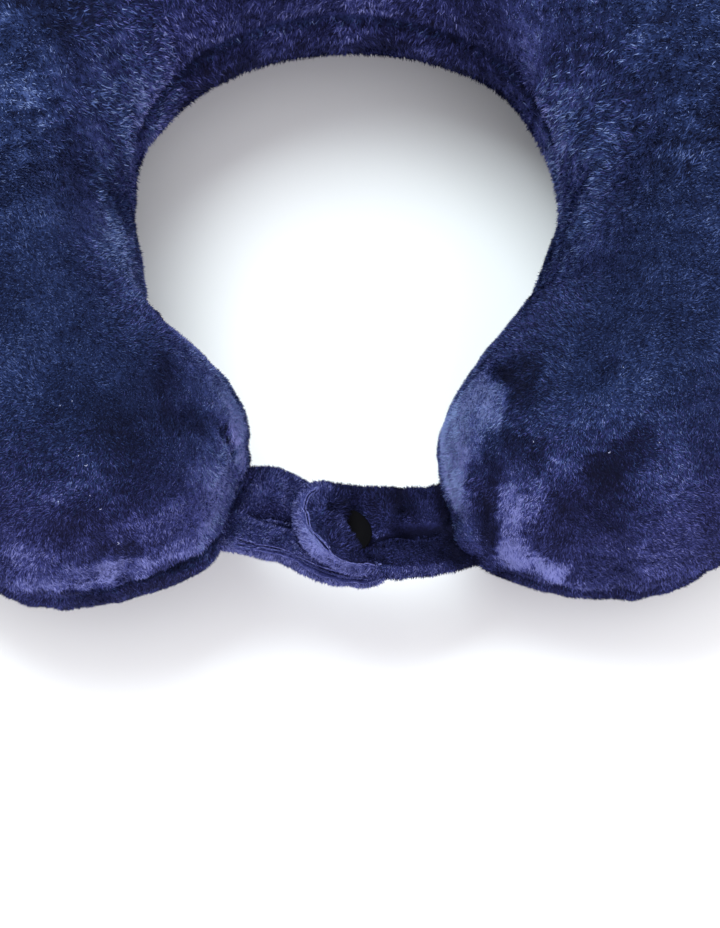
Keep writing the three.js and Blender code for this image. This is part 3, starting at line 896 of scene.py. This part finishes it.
STRAP_STEPS = (200, 112)
STRAP_BLADES = {
    "length": 1.25, "width": 0.36, "lean": 44, "spread": 14, "swing": 0.9, "mottle": 2.5,
    "facing": STRAP_FACING,
}
THREAD_BLADES = {
    "length": 0.8, "width": 0.19, "lean": 84, "spread": 3, "swing": 0.1, "mottle": 1.5,
    "facing": STRAP_FACING,
}
THREAD = {"apart": 0.7, "half_width": 0.09, "over": 0.45, "tries": 30000, "within": 2.5}
BLADES_PER_STRAP = 50000
STRAP_SEED = 51
BARE_ROOT = 4
STRAP_LIE = {"to_tip": 0.4, "outward": 1.3, "swirl": 0.5, "size": 7, "seeds": (63, 64)}
SHADE_ACROSS = (-1, 3)
STRAP_MOTTLE = [(15, 0.07, 61), (5, 0.05, 62)]
STRAP_SHADE_LIMIT = 0.7
# Painted sheen on the free flap beyond the snap
FLAP_SHADE = 0.2
# Painted highlight along the strap's rim
RIM_HIGHLIGHT = {
    "width": 3.4, "edge": 0.5, "across": (-2, 4),
    "round_flap": 15, "at_end": 0.38, "end_across": (-2, 8), "off_flap": 0.65,
}
# Painted shade in the grooves of the sewn lines
SEAM_SHADES = {"dark": -0.6, "width": 0.4}
SEAM_BARE = 0.3
# Painted shade in the crease, and a painted highlight on its front lip
CREASE_SHADE = {
    "lift": -0.8, "width": 1, "lip": 0.18, "lip_at": 2.2, "from": (12, 18), "run_out": (-4, 2),
}
CREASE_BARE = 0.8
# Painted shade in the soft fold
FOLD_SHADE = -0.25
SHORTER = {"by": 0.6, "reach": 1.4}
# "darker" is a painted shadow on the pile behind the cap
ROUND_CAP = {
    "from": 3, "to": 0.5, "longer": 0.5, "behind": 1, "darker": -0.4, "pull": 3, "across": (-1, -5),
}


def strap_shade(strap, grid, reach, side, from_edge, on_top):
    """The random mottle and painted light of a strap's pile: painted sheen, highlights on the rim and the
    crease's lip, shade in the sewn lines, fold and crease, and a painted shadow at the root.
    """
    front = side * strap["front"]
    shade = between(*strap["shades"], ease(front, *SHADE_ACROSS))
    shade += layered_waves(grid, STRAP_MOTTLE)
    flap = past_snap(strap, reach)
    shade += FLAP_SHADE * flap
    width, edge = RIM_HIGHLIGHT["width"] + wall_width(strap, reach, side), RIM_HIGHLIGHT["edge"]
    rim = ease(from_edge, width + edge, width - edge)
    rim *= ease(front + RIM_HIGHLIGHT["round_flap"] * flap, *RIM_HIGHLIGHT["across"])
    at_front = between(RIM_HIGHLIGHT["at_end"], 1, ease(front, *RIM_HIGHLIGHT["end_across"]))
    rim *= at_front * between(RIM_HIGHLIGHT["off_flap"], 1, flap)
    shade += strap["rim"] * rim
    off_seam = seam_distance(strap, reach, side, from_edge)
    shade += SEAM_SHADES["dark"] * bell(off_seam, SEAM_SHADES["width"]) * on_top
    shade += FOLD_SHADE * in_fold(strap, reach, side)
    creased = along_crease(strap, reach, CREASE_SHADE) * on_top
    from_crease = side - crease_side(strap, reach)
    shade += CREASE_SHADE["lift"] * bell(from_crease, CREASE_SHADE["width"]) * creased
    from_lip = np.where(front > 0, np.abs(from_crease), -1) - CREASE_SHADE["lip_at"]
    shade += CREASE_SHADE["lip"] * bell(from_lip, 1) * creased
    # Painted shadow where the strap goes into the seam
    lift, start, end = strap["root_shadow"]
    shade += lift * ease(reach, start, end)
    return np.clip(shade, -STRAP_SHADE_LIMIT, STRAP_SHADE_LIMIT)


OVERHEAD = 200


def heights_over(grid, points):
    """The top of a skin grid above or below each point, or far below where the grid isn't there."""
    tree = BVHTree.FromPolygons(grid.reshape(-1, 3).tolist(), grid_faces(grid)[2].tolist())
    down = Vector((0, 0, -1))
    tops = []
    for x, y, _ in points.reshape(-1, 3):
        hit = tree.ray_cast(Vector((x, y, OVERHEAD)), down)[0]
        tops.append(hit.z if hit else -BEYOND)
    return np.array(tops).reshape(points.shape[:-1])


def build_straps():
    seat, (seat_along, seat_across, seat_up) = snap_seat()
    left_top = None
    for number, (node, strap) in enumerate(STRAPS.items()):
        grid, reach, side, from_edge, on_top = strap_grid(strap, *STRAP_STEPS)
        if left_top is None:
            left_top = grid
        else:
            grid[..., 2] = np.maximum(grid[..., 2], heights_over(left_top, grid) + PIECE_GAP)
        centre = Curve(strap["line"])
        normals = skin_normals(grid, centre.at(centre.t_at(reach)))
        shade = strap_shade(strap, grid, reach, side, from_edge, on_top)
        cloth = closed_skin(f"{node}_cloth", grid, STRAP_GROUND, shade + MIDDLE_SHADE)
        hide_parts(node)
        rng = np.random.default_rng(STRAP_SEED + number)
        from_seat = grid - seat
        in_plan = np.hypot(from_seat @ seat_along, from_seat @ seat_across)
        under_cap = (in_plan < CAP_RADIUS) & (from_seat @ seat_up < CAP_THICKNESS)
        from_line = from_edge - wall_width(strap, reach, side)
        top = on_top > 0.5
        off_seam = np.where(top, seam_distance(strap, reach, side, from_edge), BEYOND)
        dark = top & (along_crease(strap, reach, CREASE_SHADE) > 0.5)
        off_crease = np.where(dark, np.abs(side - crease_side(strap, reach)), BEYOND)
        parted = (off_seam < SEAM_BARE) | (off_crease < CREASE_BARE)
        density = ~(under_cap | parted | (reach < BARE_ROOT))
        nearest = np.minimum(off_seam, off_crease)
        scale = 1 - SHORTER["by"] * bell(nearest, SHORTER["reach"])
        roots, up, cell, _ = scatter(grid, normals, BLADES_PER_STRAP, density, rng)
        to_tip = unit(np.gradient(grid, axis=0))[cell]
        spread = (side / STRAP_HALF_WIDTH)[cell][:, None]
        sideways = unit(np.cross(np.array([0, 0, 1]), to_tip))
        swirl = [waves(roots, STRAP_LIE["size"], seed) for seed in STRAP_LIE["seeds"]]
        swirl = np.stack([*swirl, 0 * spread[:, 0]], -1)
        lie = STRAP_LIE["to_tip"] * to_tip + STRAP_LIE["outward"] * sideways * spread
        lie += STRAP_LIE["swirl"] * swirl
        rim = CAP_RADIUS
        round_cap = ease(in_plan, rim + ROUND_CAP["from"], rim + ROUND_CAP["to"]) * top
        behind_cap = round_cap * ease(from_seat @ seat_across, *ROUND_CAP["across"])
        lie += ROUND_CAP["pull"] * (round_cap[..., None] * -unit(from_seat))[cell]
        scale = scale + ROUND_CAP["longer"] * round_cap + ROUND_CAP["behind"] * behind_cap
        # Painted shadow on the pile behind the cap
        shade = (shade + ROUND_CAP["darker"] * behind_cap)[cell]
        blades(
            f"{node}_pile", roots - up * ROOT_DEPTH, up, lie, shade, scale[cell][:, None],
            STRAP_BLADES, rng,
        )
        lay_threads(node, grid, normals, from_line, off_seam, rng)


def lay_threads(node, grid, normals, from_line, off_seam, rng):
    """Fine lines of flattened pile either side of each sewn line of a strap, light as painted highlight.
    """
    near = off_seam < THREAD["within"]
    roots, up, cell, shares = scatter(grid, normals, THREAD["tries"], near, rng)
    off_root = sum(share[:, 0] * c[cell] for share, c in zip(shares, corners(off_seam)))
    kept = np.abs(off_root - THREAD["apart"]) < THREAD["half_width"]
    roots, up, cell = roots[kept], up[kept], (cell[0][kept], cell[1][kept])
    down_rows, down_columns = np.gradient(from_line)
    row_way, column_way = np.gradient(grid, axis=(0, 1))
    way = (down_columns[..., None] * row_way - down_rows[..., None] * column_way)[cell]
    # Painted highlight of the flattened pile
    shade = np.full(len(roots), STRAPS[node]["sheen_lines"])
    size = np.ones((len(roots), 1))
    blades(f"{node}_threads", roots + up * THREAD["over"], up, way, shade, size, THREAD_BLADES, rng)


def black_plastic():
    """Matt moulded plastic with a faint grain."""
    material, tree, shader = new_material("black_plastic", {"Specular IOR Level": 0.04})
    grain = toned_noise(tree, shader, 900, (3, 3, 5), (7, 7, 10))
    place = add_node(tree, "TexCoord")
    wear = add_node(tree, "MapRange", {"To Min": 0.6, "To Max": 0.8})
    bump = add_node(tree, "Bump", {"Distance": 0.00005})
    join(
        tree,
        (place, "Object", grain, "Vector"), (grain, "Fac", wear, "Value"),
        (wear, "Result", shader, "Roughness"),
        (grain, "Fac", bump, "Height"), (bump, "Normal", shader, "Normal"),
    )
    return material


def build_snap():
    """The snap's cap, turned from its profile with a rounded edge and a dished top."""
    corner_steps, face_steps, turn_steps = CAP_STEPS
    corner = np.linspace(0, math.pi / 2, corner_steps)
    flat = CAP_RADIUS - CAP_EDGE
    low = np.stack([flat + CAP_EDGE * np.sin(corner), CAP_EDGE - CAP_EDGE * np.cos(corner)], -1)
    high = np.stack([low[::-1, 0], CAP_THICKNESS - low[::-1, 1]], -1)
    inward = np.linspace(CAP_FACE_FROM, 0, face_steps)
    face = np.stack([inward * flat, CAP_THICKNESS - CAP_DISH * ease(inward, *CAP_DISH_SPAN)], -1)
    middle = [[CAP_HOLE, CAP_THICKNESS - CAP_DISH]]
    profile = np.vstack([[[CAP_HOLE, 0]], low, high, face[:-1], middle])
    angles = np.linspace(0, 2 * math.pi, turn_steps, endpoint=False)
    out, up = profile[:, 0, None], profile[:, 1, None]
    grid = np.stack([out * np.cos(angles), out * np.sin(angles), up + 0 * angles], -1)
    seat, axes = snap_seat()
    cap = closed_skin("snap", grid @ axes + seat, black_plastic())
    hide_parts("snap_cap")


LINT = [  # place, length, turn
    (-74.9, 12, 93.5, 0.5, 20), (-77.7, 9.2, 93.1, 0.5, 70), (-72.2, -2.5, 86.6, 0.6, 10),
    (-71.5, -3.5, 85.7, 1.6, 100), (-69.6, -10, 78.6, 0.6, 50), (-79.1, -11.8, 78.2, 0.7, 80),
    (-68.4, -12.2, 74.9, 1, 140), (-63.7, -16.9, 61.4, 1.9, 170), (-58.5, -18, 47.5, 0.8, 30),
    (73.1, 2.6, 80.8, 1.2, 130), (87.6, 4.8, 83, 0.6, 0), (79.2, -14, 53.4, 0.8, 60),
    (77.8, 22.3, 91.3, 0.5, 90), (51.9, 7.5, 77.1, 0.6, 40),
]
LINT_WIDTH = 0.13
LINT_OVER = 0.75
LINT_STEPS = 7
LINT_CURL = (0.4, 1.6)  # in radians, and how much more for each millimetre
LINT_SHARE = 0.8
LINT_WAY = (0, 1, 0.3)


def build_lint(grid, normals):
    """A few curled white fibres caught on the pile."""
    material, tree, shader = new_material("white_lint", {"Roughness": 0.9})
    toned_noise(tree, shader, 2000, (120, 128, 165), (190, 197, 225))
    curl, more = LINT_CURL
    points = []
    for *place, length, turned in LINT:
        away = span_of(grid - np.array(place))
        nearest = np.unravel_index(np.argmin(away), away.shape)
        up = normals[nearest]
        across = unit(np.cross(up, LINT_WAY))
        ahead = np.cross(up, across)
        angle = math.radians(turned) + np.linspace(0, curl + more * length, LINT_STEPS)
        bend = across * np.cos(angle)[:, None] + ahead * np.sin(angle)[:, None]
        line = np.cumsum(bend, axis=0) * LINT_SHARE * length / LINT_STEPS
        line += grid[nearest] + up * LINT_OVER
        wide = np.cross(up, bend) * LINT_WIDTH / 2
        points.append(np.stack([line - wide, line + wide], 1).reshape(-1, 3))
    step = 2 * np.arange(LINT_STEPS - 1)[:, None] + [0, 1, 3, 2]
    faces = np.vstack([step + 2 * LINT_STEPS * number for number in range(len(points))])
    mesh_object("lint", to_row(np.vstack(points)), faces, [material])


FLOOR_REACH = 3


def build_floor():
    """A large pale surface that the pillow lies on."""
    material, tree, shader = new_material("pale_floor", {"Roughness": 0.9})
    toned_noise(tree, shader, 3, (238, 240, 241), (244, 245, 246))
    mesh = bpy.data.meshes.new("floor")
    turns = [(-1, -1), (1, -1), (1, 1), (-1, 1)]
    mesh.from_pydata([(x * FLOOR_REACH, y * FLOOR_REACH, 0) for x, y in turns], [], [(0, 1, 2, 3)])
    mesh.materials.append(material)
    floor = add_object("floor", mesh)


def aim(thing, target):
    thing.rotation_euler = (Vector(target) - thing.location).to_track_quat("-Z", "Y").to_euler()


LIGHT_TARGET = (0, 0, 0.04)
LIGHTS = [  # name, place, size, power, colour
    ("key", (-0.35, 0.5, 1.3), 0.9, 20, (0.88, 0.98, 1.0)),
    ("front", (0.25, -1.2, 0.6), 0.8, 12, (1.0, 0.94, 1.0)),
]


def add_light(name, place, size, power, colour):
    light = bpy.data.lights.new(name, "AREA")
    light.size = size
    light.energy = power
    light.color = colour
    lamp = add_object(name, light)
    lamp.location = place
    aim(lamp, LIGHT_TARGET)


def build_lights():
    for light in LIGHTS:
        add_light(*light)
    world = bpy.data.worlds.new("studio")
    world.use_nodes = True
    put(world.node_tree.nodes["Background"], {"Color": (1, 1, 1, 1), "Strength": 1})
    bpy.context.scene.world = world


def build_camera():
    camera = bpy.data.cameras.new("camera")
    camera.lens = CAMERA_LENS
    camera.sensor_fit = "VERTICAL"
    camera.sensor_height = CAMERA_SENSOR
    camera.clip_start = CAMERA_NEAR
    eye = add_object("camera", camera)
    target = Vector(CAMERA_TARGET_MM) * MM
    tilt = math.radians(CAMERA_ELEVATION)
    eye.location = target + Vector((0, -math.cos(tilt), math.sin(tilt))) * CAMERA_DISTANCE_MM * MM
    aim(eye, target)
    bpy.context.scene.camera = eye


build_camera()
build_floor()
build_lights()
build_cushion()
build_straps()
build_snap()
bpy.context.scene.view_settings.view_transform = "Standard"
